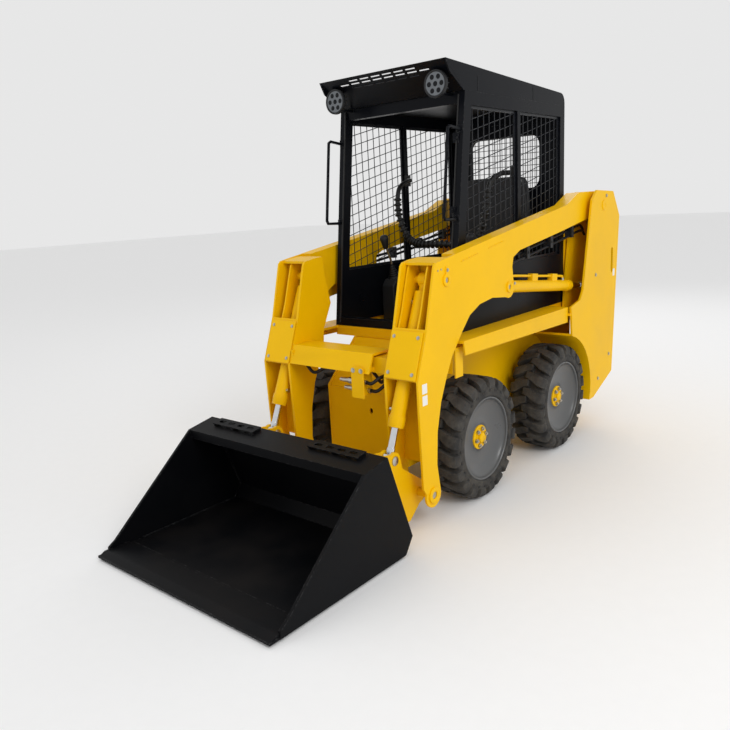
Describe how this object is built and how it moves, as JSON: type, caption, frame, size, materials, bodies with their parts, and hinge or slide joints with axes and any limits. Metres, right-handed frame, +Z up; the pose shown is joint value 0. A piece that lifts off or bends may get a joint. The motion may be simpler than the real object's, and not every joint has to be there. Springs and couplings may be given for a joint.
{
  "type": "skid steer loader",
  "caption": "Compact wheeled loader with a barred operator cab, side lift arms pivoting at rear towers, tilt cylinders, a coupler and a wide dirt bucket.",
  "frame": {"origin": "centre of the whole loader's footprint, on the ground", "axes": "+Z up, -Y towards the bucket, +Y towards the engine, +X the operator's left"},
  "size_m": [1.054, 2.998, 1.971],
  "materials": {
    "yellow_paint": "gloss",
    "black_paint": "semi-gloss",
    "tyre_rubber": "matt, dusty",
    "rim_paint": "gloss",
    "rod_chrome": "polished",
    "lamp_lens": "ribbed",
    "seat_vinyl": "grained",
    "black_plastic": "textured",
    "engine_iron": "rough"
  },
  "bodies": {
    "machine": {"chassis_frame": "yellow_paint", "rear_bumper": "black_paint", "engine_block": "engine_iron", "engine_hood": "yellow_paint", "tower_left": "yellow_paint", "tower_right": "yellow_paint", "axle_front": "black_paint", "axle_rear": "black_paint", "cab_frame": "black_paint", "cab_roof": "black_paint", "cab_rear_panel": "black_paint", "cab_guard_front_left": "black_paint", "cab_guard_rear_left": "black_paint", "cab_guard_front_right": "black_paint", "cab_guard_rear_right": "black_paint", "work_light_left": "lamp_lens", "work_light_right": "lamp_lens", "seat_box": "black_plastic", "seat": "seat_vinyl", "control_console_left": "black_plastic", "control_console_right": "black_plastic"},
    "lift_arms": {"lift_arm_left": "yellow_paint", "lift_arm_right": "yellow_paint", "cross_beam": "yellow_paint", "quick_coupler_bracket": "yellow_paint"},
    "bucket_assembly": {"bucket": "black_paint", "coupler_frame": "yellow_paint"},
    "rear_door": {"rear_door": "yellow_paint"},
    "wheel_front_left": {"tyre_front_left": "tyre_rubber", "rim_front_left": "rim_paint"},
    "wheel_rear_left": {"tyre_rear_left": "tyre_rubber", "rim_rear_left": "rim_paint"},
    "wheel_front_right": {"tyre_front_right": "tyre_rubber", "rim_front_right": "rim_paint"},
    "wheel_rear_right": {"tyre_rear_right": "tyre_rubber", "rim_rear_right": "rim_paint"},
    "lift_barrel_left": {"lift_barrel_left": "yellow_paint"},
    "lift_rod_left": {"lift_rod_left": "rod_chrome"},
    "tilt_barrel_left": {"tilt_barrel_left": "yellow_paint"},
    "tilt_rod_left": {"tilt_rod_left": "rod_chrome"},
    "lift_barrel_right": {"lift_barrel_right": "yellow_paint"},
    "lift_rod_right": {"lift_rod_right": "rod_chrome"},
    "tilt_barrel_right": {"tilt_barrel_right": "yellow_paint"},
    "tilt_rod_right": {"tilt_rod_right": "rod_chrome"}
  },
  "joints": [
    {"name": "wheel_front_left_spin", "type": "hinge", "parent": "machine", "child": "wheel_front_left", "pos_m": [0.395, -0.057, 0.29], "axis": [1, 0, 0], "continuous": true},
    {"name": "wheel_rear_left_spin", "type": "hinge", "parent": "machine", "child": "wheel_rear_left", "pos_m": [0.395, 0.767, 0.29], "axis": [1, 0, 0], "continuous": true},
    {"name": "wheel_front_right_spin", "type": "hinge", "parent": "machine", "child": "wheel_front_right", "pos_m": [-0.395, -0.057, 0.29], "axis": [1, 0, 0], "continuous": true},
    {"name": "wheel_rear_right_spin", "type": "hinge", "parent": "machine", "child": "wheel_rear_right", "pos_m": [-0.395, 0.767, 0.29], "axis": [1, 0, 0], "continuous": true},
    {"name": "lift_arms_raise", "type": "hinge", "parent": "machine", "child": "lift_arms", "pos_m": [0, 1.26, 1.313], "axis": [-1, 0, 0], "range_deg": [0, 65]},
    {"name": "bucket_tilt", "type": "hinge", "parent": "lift_arms", "child": "bucket_assembly", "pos_m": [0, -0.466, 0.147], "axis": [1, 0, 0], "range_deg": [-20, 95]},
    {"name": "lift_barrel_swing_left", "type": "hinge", "parent": "lift_arms", "child": "lift_barrel_left", "pos_m": [0.42, 0.211, 0.967], "axis": [-1, 0, 0], "range_deg": [-9, 1]},
    {"name": "lift_rod_slide_left", "type": "slide", "parent": "lift_barrel_left", "child": "lift_rod_left", "axis": [0, 0.9942, -0.1074], "range_m": [-0.005, 0.485]},
    {"name": "tilt_barrel_swing_left", "type": "hinge", "parent": "lift_arms", "child": "tilt_barrel_left", "pos_m": [0.355, -0.325, 1.06], "axis": [1, 0, 0], "range_deg": [-2, 5]},
    {"name": "tilt_rod_slide_left", "type": "slide", "parent": "tilt_barrel_left", "child": "tilt_rod_left", "axis": [0, -0.3901, -0.9208], "range_m": [-0.08, 0.36]},
    {"name": "lift_barrel_swing_right", "type": "hinge", "parent": "lift_arms", "child": "lift_barrel_right", "pos_m": [-0.42, 0.211, 0.967], "axis": [-1, 0, 0], "range_deg": [-9, 1]},
    {"name": "lift_rod_slide_right", "type": "slide", "parent": "lift_barrel_right", "child": "lift_rod_right", "axis": [0, 0.9942, -0.1074], "range_m": [-0.005, 0.485]},
    {"name": "tilt_barrel_swing_right", "type": "hinge", "parent": "lift_arms", "child": "tilt_barrel_right", "pos_m": [-0.355, -0.325, 1.06], "axis": [1, 0, 0], "range_deg": [-2, 5]},
    {"name": "tilt_rod_slide_right", "type": "slide", "parent": "tilt_barrel_right", "child": "tilt_rod_right", "axis": [0, -0.3901, -0.9208], "range_m": [-0.08, 0.36]},
    {"name": "rear_door_hinge", "type": "hinge", "parent": "machine", "child": "rear_door", "pos_m": [-0.352, 1.49, 0.97], "axis": [0, 0, 1], "range_deg": [0, 100]}
  ],
  "couplings": [
    {"joint": "lift_barrel_swing_left", "follows": "lift_arms_raise", "ratio": -0.1111},
    {"joint": "lift_rod_slide_left", "follows": "lift_arms_raise", "m_per_rad": 0.4222},
    {"joint": "tilt_barrel_swing_left", "follows": "bucket_tilt", "ratio": 0.0377},
    {"joint": "tilt_rod_slide_left", "follows": "bucket_tilt", "m_per_rad": 0.2116},
    {"joint": "lift_barrel_swing_right", "follows": "lift_arms_raise", "ratio": -0.1111},
    {"joint": "lift_rod_slide_right", "follows": "lift_arms_raise", "m_per_rad": 0.4222},
    {"joint": "tilt_barrel_swing_right", "follows": "bucket_tilt", "ratio": 0.0377},
    {"joint": "tilt_rod_slide_right", "follows": "bucket_tilt", "m_per_rad": 0.2116}
  ]
}
